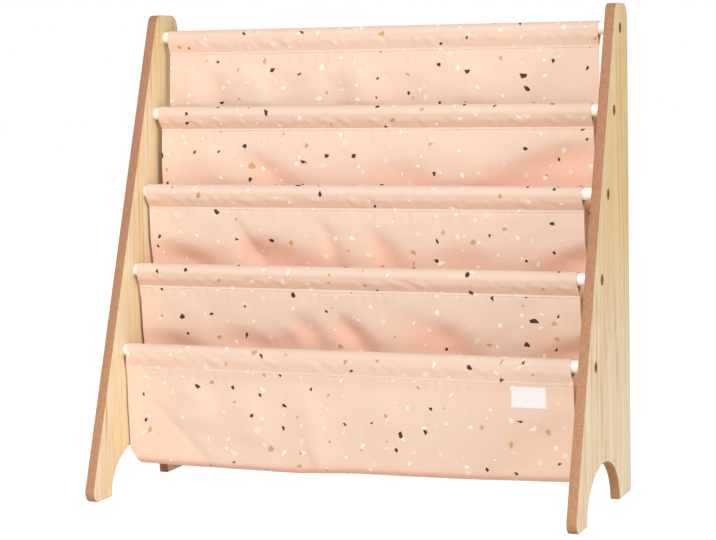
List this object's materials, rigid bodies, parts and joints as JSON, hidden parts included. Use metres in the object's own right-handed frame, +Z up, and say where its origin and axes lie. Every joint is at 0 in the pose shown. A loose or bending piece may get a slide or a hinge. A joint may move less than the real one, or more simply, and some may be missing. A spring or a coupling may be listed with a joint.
{
  "type": "sling bookshelf",
  "caption": "Child's bookshelf with sloping side panels and cross rods that carry a printed cloth sling hung in a stair of book pockets.",
  "frame": {"origin": "on the floor, under the middle of the shelf's box", "axes": "+X across the shelf towards its right panel as seen from the front, +Y back, +Z up; the front faces -Y"},
  "size_m": [0.63, 0.2687, 0.61],
  "materials": {
    "board": "pale wood-grain laminate on board, satin, with bare brown edges",
    "rod": "white gloss powder coat on steel tube",
    "plug": "matt black moulded plastic",
    "screw": "dark bronze plating, satin",
    "cloth": "peach cotton canvas with a scattered chip print",
    "label": "bare white woven tape"
  },
  "bodies": {
    "root": {"side_panel_left": "board", "side_panel_right": "board", "cross_rod_1": "rod", "cross_rod_2": "rod", "cross_rod_3": "rod", "cross_rod_4": "rod", "cross_rod_5": "rod", "rod_plug_left_1": "plug", "rod_plug_left_2": "plug", "rod_plug_left_3": "plug", "rod_plug_left_4": "plug", "rod_plug_left_5": "plug", "rod_plug_right_1": "plug", "rod_plug_right_2": "plug", "rod_plug_right_3": "plug", "rod_plug_right_4": "plug", "rod_plug_right_5": "plug", "panel_screw_left_1": "screw", "panel_screw_left_2": "screw", "panel_screw_left_3": "screw", "panel_screw_left_4": "screw", "panel_screw_left_5": "screw", "panel_screw_right_1": "screw", "panel_screw_right_2": "screw", "panel_screw_right_3": "screw", "panel_screw_right_4": "screw", "panel_screw_right_5": "screw", "rod_sleeve_1": "cloth", "rod_sleeve_2": "cloth", "rod_sleeve_3": "cloth", "rod_sleeve_4": "cloth", "rod_sleeve_5": "cloth", "pocket_1": "cloth", "pocket_2": "cloth", "pocket_3": "cloth", "pocket_4": "cloth", "sewn_label": "label"}
  },
  "joints": []
}
